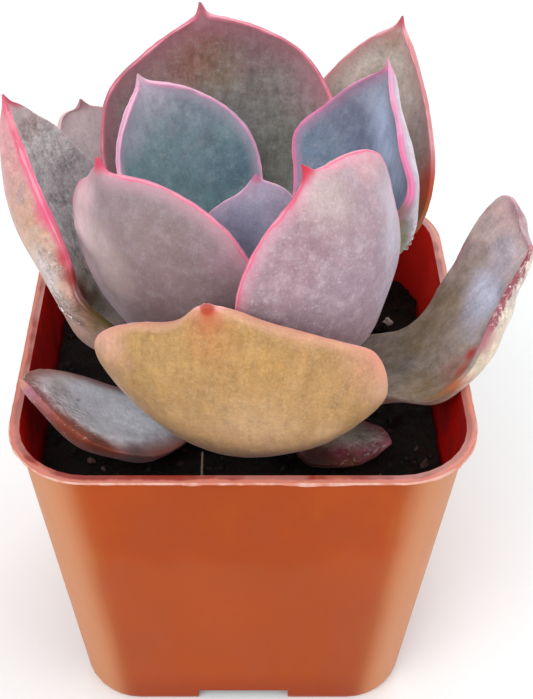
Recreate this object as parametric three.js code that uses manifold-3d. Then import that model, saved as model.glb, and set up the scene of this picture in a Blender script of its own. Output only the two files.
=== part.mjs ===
// A dusty rose echeveria in a square nursery pot, in millimetres, +Z up, with -Y the front.
// It is laid out with the pot's foot on z = 0 and the stem on the pot's axis, and centred at the end.
import * as THREE from "three";
import { mergeVertices } from "three/addons/utils/BufferGeometryUtils.js";
import Module from "manifold-3d";

const wasm = await Module();
wasm.setup();

const { lerp, degToRad, smoothstep } = THREE.MathUtils;

// The pot
const POT_HEIGHT = 58;
const RIM_SIDE = 62;
const FOOT_SIDE = 51;
const RIM_CORNER = 11;
const FOOT_CORNER = 9;
const CORNER_STEPS = 8;
const WALL = 0.8;
const FOOT_BEVEL = 1.2;
const LIP_REACH = 0.9;
const LIP_THICK = 0.8;
const LIP_UNDERCUT = 0.4;
const CHANNEL_WIDTH = 14.4;
const CHANNEL_HEIGHT = 1.4;
const DRAIN_RADIUS = 3.2;
const DRAIN_OFFSET = 15.5;

// The soil and the grit in it
const GAP = 0.3;
const SOIL_LEVEL = 45;
const SOIL_FALL = 0.03;
const SOIL_RISE = 1.4;
const LUMP_HEIGHT = 0.4;
const SOIL_CELLS = 27;
const GRIT_SEEN = [
  [21.8, 14, 1.3],
  [25, -16, 1.1],
  [22.8, -6.5, 1.2],
  [-22, -23, 1.1],
];
const GRIT_MORE = 16;
const GRIT_SEED = 11;

// The stem and the dry stalk in front of it
const STEM_FOOT = 27;
const STEM_TOP = 60;
const STEM_RADIUS_FOOT = 6.2;
const STEM_RADIUS_TOP = 4.2;
const STEM_RINGS = 6;
const STALK_RADIUS = 0.4;
const STALK_PATH = [
  [-5.8, -22.6, 40],
  [-5.5, -22.4, 44],
  [-5.4, -21.6, 47.5],
  [-5.2, -20.4, 50],
];

// Every leaf. Its length runs from 0 at the root to 1 at the point; half widths are in millimetres.
const STATIONS = [0, 0.07, 0.16, 0.27, 0.38, 0.49, 0.6, 0.7, 0.79, 0.86, 0.91, 0.945, 0.965, 0.98, 1];
const COLUMNS = 8;
const YOUNG_STATIONS = [0, 0.3, 0.6, 0.8, 0.93, 1];
const YOUNG_COLUMNS = 4;
const BELLY_AT = 0.6;
const NECK = 0.34;
const EDGE_THICK = 0.7;
const SPINE_LENGTH = 0.035;
const SPINE_HALF = 1.1;
const POINT_HALF = 0.24;

// The leaves, from the heart outwards.
// root: direction round the stem in degrees, height. belly: midrib at the widest place. point: the tip.
// half: widths to the two sides. blunt: how squarely each side ends. cup: how far the margins close in.
const LEAVES = {
  leaf_inner_front: {
    root: [-92, 60], belly: [0.9, -5.5, 75.5], point: [1.8, -3.5, 85.2],
    half: [7.5, 7.5], blunt: [0.9, 0.5], thick: 2.6, cup: 0.8,
  },
  leaf_inner_back: {
    root: [128, 58.5], belly: [-8.6, 10.5, 76], point: [-14.2, 13, 91],
    half: [12, 12], blunt: [0.75, 0.6], thick: 3, cup: 0.65,
  },
  leaf_inner_right: {
    root: [22, 57.8], belly: [19.5, 9.3, 79.8], point: [19.3, 14.5, 92.8],
    half: [11, 15], blunt: [0.8, 0.65], thick: 2.6, cup: 0.85, at: 0.68,
  },
  leaf_front_left: {
    root: [-124, 57], belly: [-12.3, -11.6, 72.5], point: [-17.5, -9, 92.2],
    half: [15, 17.9], blunt: [0.5, 0.5], thick: 3.2, cup: 0.65, neck: 0.22,
  },
  leaf_front_right: {
    root: [-43, 55.4], belly: [13.1, -15.6, 79.2], point: [6.7, -13.5, 94.6],
    half: [15.2, 12.3], blunt: [0.9, 0.38], thick: 3.2, cup: 0.65, at: 0.68, roll: -9, slant: 0.1, neck: 0.24,
  },
  leaf_back: {
    root: [102, 54.9], belly: [-3.1, 22.5, 74.1], point: [-6.1, 27, 94.5],
    half: [18, 19.3], blunt: [0.6, 0.5], thick: 3.2, cup: 0.5, neck: 0.24,
  },
  leaf_back_right: {
    root: [47, 51.9], belly: [19.3, 26, 68.7], point: [23.5, 33, 89.3],
    half: [14, 14], blunt: [0.85, 0.85], thick: 3.4, cup: 0.7, neck: 0.24,
  },
  leaf_front: {
    root: [-101, 51.7], belly: [-2, -25.2, 67.1], point: [-4.5, -23.4, 80.1],
    half: [19.5, 20.6], blunt: [0.36, 0.56], thick: 4, cup: 0.6, at: 0.72, slant: -0.1, neck: 0.26,
  },
  leaf_left: {
    root: [172, 52], belly: [-24.7, 4, 67.5], point: [-31.5, 8, 90.4],
    half: [14.5, 15.5], blunt: [0.8, 0.6], thick: 3.4, cup: 0.95, roll: 4, neck: 0.26,
  },
  leaf_back_left: {
    root: [140, 48.8], belly: [-17.5, 23.8, 61.8], point: [-24.6, 30, 76.7],
    half: [14, 11], blunt: [0.65, 0.35], thick: 3.2, cup: 0.5, neck: 0.24,
  },
  leaf_right: {
    root: [-13, 50.1], belly: [31.1, -7.9, 65.3], point: [36.8, -8, 77.8],
    half: [9, 10.5], blunt: [0.5, 0.4], thick: 3, cup: 0.6, at: 0.75, roll: 10, slant: 0.95, neck: 0.4,
  },
  leaf_low_left: {
    root: [-143, 48.5], belly: [-19, -14.5, 53.3], point: [-29.7, -17, 63.6],
    half: [7.5, 8.3], blunt: [0.4, 0.5], thick: 3.2, cup: 0.15, neck: 0.4,
  },
  leaf_low_right: {
    root: [-47, 47.5], belly: [13.9, -12.7, 48.9], point: [20.5, -16.5, 51],
    half: [5.5, 4.2], blunt: [0.6, 0.6], thick: 2.8, cup: 0.15, neck: 0.5,
  },
  leaf_low_back: {
    root: [78, 47.8], belly: [4.4, 20.5, 51.5], point: [5.9, 27, 60],
    half: [8, 8], blunt: [0.6, 0.6], thick: 2.8, cup: 0.4, neck: 0.3,
  },
};

// The young leaves of the heart, each inside the one before it: direction round the stem and length.
const YOUNG_LEAVES = [
  [48, 12],
  [186, 10],
  [-36, 8.4],
  [102, 6.8],
  [-120, 5.4],
];
const YOUNG_HALF = 0.31;
const YOUNG_THICK = 1.3;
const YOUNG_REACH = 0.34;
const YOUNG_SUNK = 1.5;

// A closed mesh from rings with equal point counts, each ring anticlockwise seen from the last one's side.
function loft(rings) {
  const count = rings[0].length;
  const position = rings.flat().flatMap((p) => [p.x, p.y, p.z]);
  const index = [];
  for (let r = 0; r + 1 < rings.length; r++) {
    for (let i = 0; i < count; i++) {
      const a = r * count + i;
      const b = r * count + ((i + 1) % count);
      index.push(a, b, b + count, a, b + count, a + count);
    }
  }
  closeEnd(rings[0], 0, position, index, true);
  closeEnd(rings.at(-1), (rings.length - 1) * count, position, index, false);
  const geometry = new THREE.BufferGeometry();
  geometry.setAttribute("position", new THREE.Float32BufferAttribute(position, 3));
  geometry.setIndex(index);
  return geometry;
}

// Closes one end of a loft with a fan round the ring's middle.
function closeEnd(ring, first, position, index, isStart) {
  const middle = new THREE.Vector3();
  for (const p of ring) middle.addScaledVector(p, 1 / ring.length);
  const hub = position.length / 3;
  position.push(middle.x, middle.y, middle.z);
  for (let i = 0; i < ring.length; i++) {
    const a = first + i;
    const b = first + ((i + 1) % ring.length);
    if (isStart) index.push(hub, b, a);
    else index.push(hub, a, b);
  }
}

function toSolid(geometry) {
  const bare = geometry.clone();
  bare.deleteAttribute("normal");
  bare.deleteAttribute("uv");
  const merged = mergeVertices(bare);
  const index = new Uint32Array(merged.index.array);
  return new wasm.Manifold(
    new wasm.Mesh({ numProp: 3, vertProperties: merged.attributes.position.array, triVerts: index }),
  );
}

function fromSolid(solid) {
  const { vertProperties, triVerts } = solid.getMesh();
  const geometry = new THREE.BufferGeometry();
  geometry.setAttribute("position", new THREE.BufferAttribute(vertProperties, 3));
  geometry.setIndex(new THREE.BufferAttribute(triVerts, 1));
  return geometry;
}

// Two bars that cross on the pot's axis.
function cross(width, low, high) {
  const middle = (low + high) / 2;
  const bar = new THREE.BoxGeometry(width, RIM_SIDE, high - low).translate(0, 0, middle);
  return toSolid(bar).add(toSolid(bar.clone().rotateZ(Math.PI / 2)));
}

function drum(radius, low, high, x = 0, y = 0) {
  const shape = new THREE.CylinderGeometry(radius, radius, high - low, 20);
  return toSolid(shape.rotateX(Math.PI / 2).translate(x, y, (low + high) / 2));
}

// A level square of that side with round corners.
function roundSquare(side, corner, z) {
  const ring = [];
  const reach = (side / 2 - corner) * Math.SQRT2;
  for (let quarter = 0; quarter < 4; quarter++) {
    const towards = ((quarter + 0.5) * Math.PI) / 2;
    for (let step = 0; step <= CORNER_STEPS; step++) {
      const angle = ((quarter + step / CORNER_STEPS) * Math.PI) / 2;
      const x = reach * Math.cos(towards) + corner * Math.cos(angle);
      const y = reach * Math.sin(towards) + corner * Math.sin(angle);
      ring.push(new THREE.Vector3(x, y, z));
    }
  }
  return ring;
}

// The pot's outer wall at a height, taken in by inset.
function wallRing(z, inset = 0) {
  const share = z / POT_HEIGHT;
  const side = lerp(FOOT_SIDE, RIM_SIDE - 2 * LIP_REACH, share);
  const corner = lerp(FOOT_CORNER, RIM_CORNER - LIP_REACH, share);
  return roundSquare(side - 2 * inset, corner - inset, z);
}

function makePot() {
  const lipLow = POT_HEIGHT - LIP_THICK;
  const outside = toSolid(
    loft([
      wallRing(0, FOOT_BEVEL),
      wallRing(FOOT_BEVEL / 3, FOOT_BEVEL / 3),
      wallRing(FOOT_BEVEL),
      wallRing(lipLow - LIP_UNDERCUT),
      roundSquare(RIM_SIDE, RIM_CORNER, lipLow),
      roundSquare(RIM_SIDE, RIM_CORNER, POT_HEIGHT),
    ]),
  );
  const floorLow = wallRing(WALL, WALL + FOOT_BEVEL);
  const inside = toSolid(loft([floorLow, wallRing(WALL + FOOT_BEVEL, WALL), wallRing(POT_HEIGHT + 1, WALL)]));
  const ridge = cross(CHANNEL_WIDTH + 2 * WALL, -1, CHANNEL_HEIGHT + WALL);
  let pot = outside.subtract(inside.subtract(ridge)).subtract(cross(CHANNEL_WIDTH, -1, CHANNEL_HEIGHT));
  for (const x of [-DRAIN_OFFSET, DRAIN_OFFSET]) {
    for (const y of [-DRAIN_OFFSET, DRAIN_OFFSET]) {
      pot = pot.subtract(drum(DRAIN_RADIUS, -1, CHANNEL_HEIGHT + WALL, x, y));
    }
  }
  return fromSolid(pot.subtract(drum(DRAIN_RADIUS, -1, CHANNEL_HEIGHT + 2 * WALL)));
}

// Height of the potting mix: it falls to the right, rises to the walls and is lumpy.
function soilHeight(x, y) {
  const broad = Math.sin(0.62 * x + 1.3) * Math.cos(0.55 * y);
  const fine = Math.sin(1.1 * y - 0.7 * x);
  const rise = SOIL_RISE * smoothstep(Math.hypot(x, y), 18, 30);
  return SOIL_LEVEL - SOIL_FALL * x + rise + LUMP_HEIGHT * (broad + 0.75 * fine);
}

// Evenly spread numbers from 0 to 1, the same on every run.
function* seededShares(seed) {
  for (let n = seed; ; n++) yield (Math.sin(n * 12.9898) * 43758.5453) % 1 / 2 + 0.5;
}

// One crumb of grit, half sunk in the surface.
function crumb(x, y, radius) {
  const shape = new THREE.IcosahedronGeometry(radius, 0).scale(1.2, 1, 0.8).rotateZ(x + y);
  return toSolid(shape.translate(x, y, soilHeight(x, y)));
}

// A block under the soil's surface, to be cut to the pot's inside.
function lumpyBlock() {
  const block = new THREE.BoxGeometry(RIM_SIDE, RIM_SIDE, 2 * SOIL_LEVEL, SOIL_CELLS, SOIL_CELLS, 1);
  const points = block.attributes.position;
  for (let i = 0; i < points.count; i++) {
    if (points.getZ(i) > 0) points.setZ(i, soilHeight(points.getX(i), points.getY(i)));
  }
  return toSolid(block);
}

function makeSoil() {
  const inset = WALL + GAP;
  const floor = CHANNEL_HEIGHT + WALL + GAP;
  const corner = wallRing(floor + 2 * FOOT_BEVEL, inset);
  const inside = loft([wallRing(floor, inset + FOOT_BEVEL), corner, wallRing(POT_HEIGHT, inset)]);
  let soil = toSolid(inside).intersect(lumpyBlock());
  for (const [x, y, radius] of GRIT_SEEN) soil = soil.add(crumb(x, y, radius));
  const share = seededShares(GRIT_SEED);
  for (let n = 0; n < GRIT_MORE; n++) {
    const turn = 2 * Math.PI * share.next().value;
    const reach = lerp(15, 24, share.next().value);
    soil = soil.add(crumb(reach * Math.cos(turn), reach * Math.sin(turn), lerp(0.6, 1, share.next().value)));
  }
  soil = soil.subtract(drum(STEM_RADIUS_FOOT + GAP, STEM_FOOT - GAP, STEM_TOP));
  return fromSolid(soil.subtract(toSolid(stalkTube(STALK_RADIUS + GAP, GAP))));
}

// A thin tube along the dry stalk's path, with its foot lowered by drop.
function stalkTube(radius, drop = 0) {
  const points = STALK_PATH.map(([x, y, z], i) => new THREE.Vector3(x, y, i ? z : z - drop));
  const path = new THREE.CatmullRomCurve3(points);
  const outline = new THREE.Shape().absarc(0, 0, radius, 0, 2 * Math.PI);
  return new THREE.ExtrudeGeometry(outline, { extrudePath: path, steps: 9, curveSegments: 4 });
}

function stemRadius(z) {
  const share = (z - STEM_FOOT) / (STEM_TOP - STEM_FOOT);
  return lerp(STEM_RADIUS_FOOT, STEM_RADIUS_TOP, THREE.MathUtils.clamp(share, 0, 1));
}

// The stalk, with the young leaves of the heart grown onto its end.
function makeStem() {
  const profile = [new THREE.Vector2(0, STEM_FOOT)];
  for (let i = 0; i <= STEM_RINGS; i++) {
    const z = lerp(STEM_FOOT, STEM_TOP, i / STEM_RINGS);
    profile.push(new THREE.Vector2(stemRadius(z), z));
  }
  profile.push(new THREE.Vector2(0, STEM_TOP));
  let stem = toSolid(new THREE.LatheGeometry(profile, 20).rotateX(Math.PI / 2));
  YOUNG_LEAVES.forEach(([turn, length], order) => {
    stem = stem.add(toSolid(makeLeaf(youngLeaf(turn, length, order), YOUNG_STATIONS, YOUNG_COLUMNS)));
  });
  return fromSolid(stem);
}

// A young leaf: it stands up from inside the stalk's end and closes over the leaves inside it.
function youngLeaf(turn, length, order) {
  const angle = degToRad(turn);
  const low = STEM_TOP - YOUNG_SUNK;
  const at = (reach, height) => [reach * Math.cos(angle), reach * Math.sin(angle), low + height];
  return {
    root: [turn, low],
    away: 1.6 - 0.3 * order,
    belly: at(YOUNG_REACH * length, BELLY_AT * length),
    point: at(0.55 * YOUNG_REACH * length, length),
    half: [YOUNG_HALF * length, YOUNG_HALF * length],
    blunt: [0.7, 0.7],
    thick: YOUNG_THICK,
    cup: 0.85,
  };
}

// Half width of a leaf at u of its length: a narrow neck, a broad belly, and a short spine at the point.
function halfWidth(u, leaf, hand) {
  const full = leaf.half[hand];
  const at = leaf.at ?? BELLY_AT;
  const neck = leaf.neck ?? NECK;
  if (u < at) return full * (neck + (1 - neck) * Math.sin((Math.PI / 2) * (u / at)) ** 1.25);
  const x = Math.min(1, (u - at) / (1 - SPINE_LENGTH - at));
  const blade = full * (1 - x ** 1.9) ** leaf.blunt[hand];
  const spine = SPINE_HALF * Math.min(1, (1 - u) / SPINE_LENGTH);
  return Math.hypot(blade, spine, POINT_HALF);
}

// The midrib on the leaf's inner face: one bend, through the root, the belly and the point.
function midrib(leaf) {
  const [turn, height] = leaf.root;
  const angle = degToRad(turn);
  const away = leaf.away ?? stemRadius(height - leaf.thick) + GAP;
  const root = new THREE.Vector3(away * Math.cos(angle), away * Math.sin(angle), height);
  const belly = new THREE.Vector3(...leaf.belly);
  const point = new THREE.Vector3(...leaf.point);
  const t = leaf.at ?? BELLY_AT;
  const bend = belly.clone().addScaledVector(root, -((1 - t) ** 2)).addScaledVector(point, -t * t);
  return new THREE.QuadraticBezierCurve3(root, bend.divideScalar(2 * t * (1 - t)), point);
}

function makeLeaf(leaf, stations = STATIONS, columns = COLUMNS) {
  const curve = midrib(leaf);
  const turn = degToRad(leaf.root[0] + 90);
  const level = new THREE.Vector3(Math.cos(turn), Math.sin(turn), 0);
  const rings = stations.map((u) => {
    const along = curve.getTangent(u);
    const roll = degToRad(leaf.roll ?? 0) * smoothstep(u, 0, 0.5);
    const side = level.clone().addScaledVector(along, -level.dot(along)).normalize();
    side.applyAxisAngle(along, roll);
    const inward = new THREE.Vector3().crossVectors(along, side).normalize();
    const slant = (leaf.slant ?? 0) * smoothstep(u, 0.3, 0.8);
    const across = side.clone().addScaledVector(along, slant);
    return leafRing(leaf, u, curve.getPoint(u), { side, inward, across }, columns);
  });
  return loft(rings);
}

// One ring of a leaf: over the hollow inner face from margin to margin, then back over the outer face.
function leafRing(leaf, u, centre, { side, inward, across }, columns) {
  const thick = leaf.thick * lerp(0.72, 1, smoothstep(u, 0, 0.4)) * (1 - 0.72 * u ** 4);
  const edge = Math.min(EDGE_THICK, 0.6 * thick);
  const inner = [];
  const outer = [];
  for (let i = 0; i <= columns; i++) {
    const v = (2 * i) / columns - 1;
    const half = halfWidth(u, leaf, v < 0 ? 0 : 1);
    const turn = leaf.cup * v;
    const face = inward.clone().multiplyScalar(Math.cos(turn)).addScaledVector(side, -Math.sin(turn));
    const p = centre.clone();
    p.addScaledVector(across, (half * Math.sin(turn)) / leaf.cup);
    p.addScaledVector(inward, (half * (1 - Math.cos(turn))) / leaf.cup);
    const swell = (Math.min(half, thick) / thick) * (1 - v * v) ** 0.75;
    inner.push(p);
    outer.push(p.clone().addScaledVector(face, -lerp(edge, thick, swell)));
  }
  return [...inner.reverse(), ...outer];
}

function named(name, geometry, color, roughness) {
  const mesh = new THREE.Mesh(geometry, new THREE.MeshStandardMaterial({ color, roughness, metalness: 0 }));
  mesh.name = name;
  return mesh;
}

const plant = new THREE.Group();
plant.add(named("pot", makePot(), 0xb4562a, 0.5));
plant.add(named("soil", makeSoil(), 0x17120e, 0.95));
plant.add(named("stem", makeStem(), 0x8f9aa0, 0.7));
plant.add(named("dry_stalk", stalkTube(STALK_RADIUS), 0xb9a98c, 0.85));
for (const [name, leaf] of Object.entries(LEAVES)) plant.add(named(name, makeLeaf(leaf), 0xa998a4, 0.6));

// The part's origin is the middle of its footprint, at the pot's foot.
const middle = new THREE.Box3().setFromObject(plant, true).getCenter(new THREE.Vector3());
plant.position.set(-middle.x, -middle.y, 0);

export default plant;
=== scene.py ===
import math
import random
from collections import Counter

import bpy
import numpy as np
from mathutils import Euler, Matrix, Vector, kdtree, noise


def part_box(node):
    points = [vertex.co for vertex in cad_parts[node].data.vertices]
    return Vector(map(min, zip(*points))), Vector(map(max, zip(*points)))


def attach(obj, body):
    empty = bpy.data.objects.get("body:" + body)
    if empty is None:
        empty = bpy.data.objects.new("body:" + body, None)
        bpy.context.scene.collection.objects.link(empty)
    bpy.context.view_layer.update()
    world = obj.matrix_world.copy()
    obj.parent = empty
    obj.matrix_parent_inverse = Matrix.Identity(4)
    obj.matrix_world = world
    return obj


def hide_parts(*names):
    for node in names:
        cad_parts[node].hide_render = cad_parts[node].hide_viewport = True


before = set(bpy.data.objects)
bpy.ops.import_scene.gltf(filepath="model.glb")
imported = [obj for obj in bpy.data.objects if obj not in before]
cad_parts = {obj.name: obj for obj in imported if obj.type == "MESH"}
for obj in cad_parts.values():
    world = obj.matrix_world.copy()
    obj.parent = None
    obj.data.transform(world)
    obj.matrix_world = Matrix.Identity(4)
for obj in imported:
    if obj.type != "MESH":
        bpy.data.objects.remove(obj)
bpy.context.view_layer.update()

MM = 0.001
low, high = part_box("pot")
POT_X = (low.x + high.x) / 2
POT_Y = (low.y + high.y) / 2
RIM_Z = high.z
UP = Vector((0, 0, 1))
CROWN = np.array((POT_X, POT_Y, 57 * MM))
chance = random.Random(5)


def paint(code):
    """A colour written as on a paint card, in the linear values that shaders use."""
    parts = [int(code[i : i + 2], 16) / 255 for i in (0, 2, 4)]
    return [c / 12.92 if c < 0.04045 else ((c + 0.055) / 1.055) ** 2.4 for c in parts] + [1]


def at(x, y, z):
    """A point given in millimetres from the middle of the pot's foot."""
    return Vector((POT_X + x * MM, POT_Y + y * MM, z * MM))


# Working on meshes


def pick(piece):
    bpy.ops.object.select_all(action="DESELECT")
    piece.select_set(True)
    bpy.context.view_layer.objects.active = piece


def edit(piece, kind="VERT", action="SELECT"):
    pick(piece)
    bpy.ops.object.mode_set(mode="EDIT")
    bpy.ops.mesh.select_mode(type=kind)
    bpy.ops.mesh.select_all(action=action)


def done():
    bpy.ops.object.mode_set(mode="OBJECT")


def apply(piece, kind, **settings):
    pick(piece)
    modifier = piece.modifiers.new(kind.title(), kind)
    for name, value in settings.items():
        setattr(modifier, name, value)
    bpy.ops.object.modifier_apply(modifier=modifier.name)


def settle(piece):
    """Puts a piece's place, turn and size into its mesh."""
    pick(piece)
    bpy.ops.object.transform_apply(location=True, rotation=True, scale=True)


def smooth(piece, angle=None):
    pick(piece)
    if angle is None:
        bpy.ops.object.shade_smooth()
    else:
        bpy.ops.object.shade_smooth_by_angle(angle=math.radians(angle))


def new_object(name, data):
    thing = bpy.data.objects.new(name, data)
    bpy.context.collection.objects.link(thing)
    return thing


def copy_of_node(node, name):
    """A copy of a CAD node to work on, with its loose triangles merged."""
    piece = new_object(name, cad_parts[node].data.copy())
    piece.data.materials.clear()
    edit(piece)
    bpy.ops.mesh.remove_doubles(threshold=1e-5)
    bpy.ops.mesh.tris_convert_to_quads(face_threshold=math.radians(75), shape_threshold=math.radians(75))
    done()
    return piece


def copy_of_piece(piece, name, placing):
    """A copy with its own mesh, placed by a matrix."""
    twin = new_object(name, piece.data.copy())
    twin.data.transform(placing)
    return twin


def joined(pieces, name):
    bpy.ops.object.select_all(action="DESELECT")
    for piece in pieces:
        piece.select_set(True)
    bpy.context.view_layer.objects.active = pieces[0]
    bpy.ops.object.join()
    pieces[0].name = name
    return pieces[0]


def drawn_up(name, corners, radius, path, sizes):
    """A rod drawn up along a path, in millimetres, with its end resized at each step."""
    bpy.ops.mesh.primitive_circle_add(vertices=corners, radius=radius * MM, fill_type="NGON", location=at(*path[0]))
    rod = bpy.context.active_object
    settle(rod)
    edit(rod)
    for here, there, size in zip(path, path[1:], sizes):
        step = [(b - a) * MM for a, b in zip(here, there)]
        bpy.ops.mesh.extrude_region_move(TRANSFORM_OT_translate={"value": step})
        bpy.ops.transform.resize(value=(size, size, 1), center_override=at(*there))
    bpy.ops.mesh.select_all(action="SELECT")
    bpy.ops.mesh.normals_make_consistent(inside=False)
    done()
    apply(rod, "SUBSURF", levels=2, render_levels=2)
    rod.name = name
    return rod


def points_of(piece):
    flat = np.empty(len(piece.data.vertices) * 3)
    piece.data.vertices.foreach_get("co", flat)
    return flat.reshape(-1, 3)


def normals_of(piece):
    flat = np.empty(len(piece.data.vertices) * 3)
    piece.data.vertex_normals.foreach_get("vector", flat)
    return flat.reshape(-1, 3)


def set_points(piece, points):
    piece.data.vertices.foreach_set("co", points.ravel())
    piece.data.update()


def keep_value(piece, name, values):
    attribute = piece.data.attributes.new(name, "FLOAT", "POINT")
    attribute.data.foreach_set("value", np.asarray(values, np.float32))


def ease(x, start, end):
    t = np.clip((x - start) / (end - start), 0, 1)
    return t * t * (3 - 2 * t)


def wave(points, size, seed=0.0):
    return np.array([noise.noise(Vector(p) / (size * MM) + Vector((seed, 0, 0))) for p in points])


def finish_piece(piece, material, nodes=()):
    piece.data.materials.clear()
    piece.data.materials.append(material)
    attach(piece, "root")
    if nodes:
        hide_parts(*nodes)


# Materials


class Finish:
    """A material under construction: its nodes, and short ways to add to them."""

    def __init__(self, name):
        self.material = bpy.data.materials.new(name)
        self.material.use_nodes = True
        self.tree = self.material.node_tree
        self.surface = self.tree.nodes["Principled BSDF"]
        place = self.tree.nodes.new("ShaderNodeTexCoord")
        self.place = place.outputs["Object"]

    def put(self, value, socket):
        """Links or sets a value. A colour is given by its code."""
        if isinstance(value, bpy.types.NodeSocket):
            self.tree.links.new(value, socket)
        else:
            socket.default_value = paint(value) if isinstance(value, str) else value

    def set(self, **values):
        for name, value in values.items():
            self.put(value, self.surface.inputs[name.replace("_", " ")])

    def number(self, name):
        node = self.tree.nodes.new("ShaderNodeAttribute")
        node.attribute_name = name
        return node.outputs["Fac"]

    def math(self, operation, a, b=0.0, c=0.0):
        node = self.tree.nodes.new("ShaderNodeMath")
        node.operation = operation
        for value, socket in zip((a, b, c), node.inputs):
            self.put(value, socket)
        return node.outputs[0]

    def fade(self, value, start, end, low=0.0, high=1.0):
        """Goes smoothly from low to high as value goes from start to end."""
        node = self.tree.nodes.new("ShaderNodeMapRange")
        node.interpolation_type = "SMOOTHSTEP"
        for value_in, socket in zip((value, start, end, low, high), node.inputs):
            self.put(value_in, socket)
        return node.outputs[0]

    def times(self, a, b):
        return self.math("MULTIPLY", a, b)

    def sway(self, value, pattern, depth):
        """Moves a value up and down with a pattern, over a depth."""
        return self.math("MULTIPLY_ADD", self.math("SUBTRACT", pattern, 0.5), depth, value)

    def vector(self, x, y, z=0.0):
        node = self.tree.nodes.new("ShaderNodeCombineXYZ")
        for value, socket in zip((x, y, z), node.inputs):
            self.put(value, socket)
        return node.outputs[0]

    def stretched(self, scale):
        node = self.tree.nodes.new("ShaderNodeMapping")
        node.inputs["Scale"].default_value = scale
        self.tree.links.new(self.place, node.inputs["Vector"])
        return node.outputs[0]

    def noise(self, size, detail=2.0, roughness=0.5, place=None, unit=MM):
        """Soft noise with marks of about size, in millimetres."""
        node = self.tree.nodes.new("ShaderNodeTexNoise")
        node.inputs["Scale"].default_value = 1 / (size * unit)
        node.inputs["Detail"].default_value = detail
        node.inputs["Roughness"].default_value = roughness
        self.tree.links.new(place or self.place, node.inputs["Vector"])
        return node.outputs["Fac"]

    def mix(self, a, b, share, blend="MIX"):
        node = self.tree.nodes.new("ShaderNodeMix")
        node.data_type = "RGBA"
        node.blend_type = blend
        self.put(share, node.inputs[0])
        self.put(a, node.inputs[6])
        self.put(b, node.inputs[7])
        return node.outputs[2]

    def away_from(self, point):
        """Distance from a point of the object, in millimetres."""
        node = self.tree.nodes.new("ShaderNodeVectorMath")
        node.operation = "DISTANCE"
        self.tree.links.new(self.place, node.inputs[0])
        node.inputs[1].default_value = point
        return self.times(node.outputs["Value"], 1 / MM)

    def from_middle(self):
        """How far out from the pot's middle, across and deep, and how high."""
        node = self.tree.nodes.new("ShaderNodeSeparateXYZ")
        self.tree.links.new(self.place, node.inputs[0])
        across, deep, height = node.outputs
        across = self.math("ABSOLUTE", self.math("SUBTRACT", across, POT_X))
        return across, self.math("ABSOLUTE", self.math("SUBTRACT", deep, POT_Y)), height

    def bump(self, height, strength, distance, under=None):
        node = self.tree.nodes.new("ShaderNodeBump")
        node.inputs["Strength"].default_value = strength
        node.inputs["Distance"].default_value = distance * MM
        self.tree.links.new(height, node.inputs["Height"])
        if under:
            self.tree.links.new(under, node.inputs["Normal"])
        return node.outputs[0]


# The camera stands where the photographer held it, above and in front of the pot.

CAMERA_TILT = 41.96
FOCAL = 1225
MIDDLE_ACROSS = 243.1
MIDDLE_DOWN = 349.5
camera = bpy.data.cameras.new("camera")
camera.lens = 63.09
camera.shift_x = 0.0335
camera.clip_start = 0.01
camera_stand = new_object("camera", camera)
camera_stand.location = at(0, -134.8, 174)
camera_stand.rotation_euler = Euler((math.radians(90 - CAMERA_TILT), 0, 0))
bpy.context.scene.camera = camera_stand
EYE = np.array(camera_stand.location)
VIEW = np.array(camera_stand.rotation_euler.to_matrix())


def photo_place(points):
    """Where points show in the photograph, in pixels from its top left corner, and how deep they lie."""
    seen = (points - EYE) @ VIEW
    depth = -seen[:, 2]
    return MIDDLE_ACROSS + FOCAL * seen[:, 0] / depth, MIDDLE_DOWN - FOCAL * seen[:, 1] / depth, depth


def seen_on(piece, across, down):
    """The point of a piece, and its normal, that shows at a place in the photograph. No normal where it misses."""
    ray = Vector(VIEW @ np.array(((across - MIDDLE_ACROSS) / FOCAL, (MIDDLE_DOWN - down) / FOCAL, -1)))
    hit, point, normal, _ = piece.ray_cast(camera_stand.location, ray.normalized())
    if hit:
        return point, normal
    px, py, _ = photo_place(points_of(piece))
    near = int(np.argmin(np.hypot(px - across, py - down)))
    return piece.data.vertices[near].co.copy(), None


def pull(piece, across, down, to_across, to_down, reach):
    """Draws what shows at one place in the photograph over to another, and what lies within reach less and less."""
    points = points_of(piece)
    px, py, depth = photo_place(points)
    grip = np.argmin(np.hypot(px - across, py - down))
    shift = (VIEW[:, 0] * (to_across - across) - VIEW[:, 1] * (to_down - down)) * depth[grip] / FOCAL
    share = np.exp(-((np.linalg.norm(points - points[grip], axis=1) / (reach * MM)) ** 2))
    set_points(piece, points + share[:, None] * shift)


# Leaves


ROOT_CORNERS = 12
SOFT_BAND = 2.2


def leaf_axes(points):
    """Root, tip, the way from one to the other, the way the hollow face looks, and the length."""
    root = points[np.argsort(np.linalg.norm(points - CROWN, axis=1))[:ROOT_CORNERS]].mean(0)
    tip = points[np.argmax(np.linalg.norm(points - root, axis=1))]
    along = tip - root
    length = np.linalg.norm(along)
    along = along / length
    inward = np.array(UP) - along * along[2]
    inward /= np.linalg.norm(inward)
    return root, tip, along, inward, length


def sharpen_tip(piece, tip, reach, width):
    """Draws the end of a leaf in to a fine point."""
    points = points_of(piece)
    far = np.linalg.norm(points - tip, axis=1)
    end = points[far < 0.7 * MM].mean(0)
    axis = end - points[(far > 2.2 * MM) & (far < 5 * MM)].mean(0)
    axis /= np.linalg.norm(axis)
    below = (end - points) @ axis
    side = points - end + below[:, None] * axis
    share = width + (1 - width) * np.clip(below / (reach * MM), 0, 1) ** 0.8
    near = (below < reach * MM) & (far < 2 * reach * MM)
    points[near] = (end - below[:, None] * axis + side * share[:, None])[near]
    set_points(piece, points)


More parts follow.
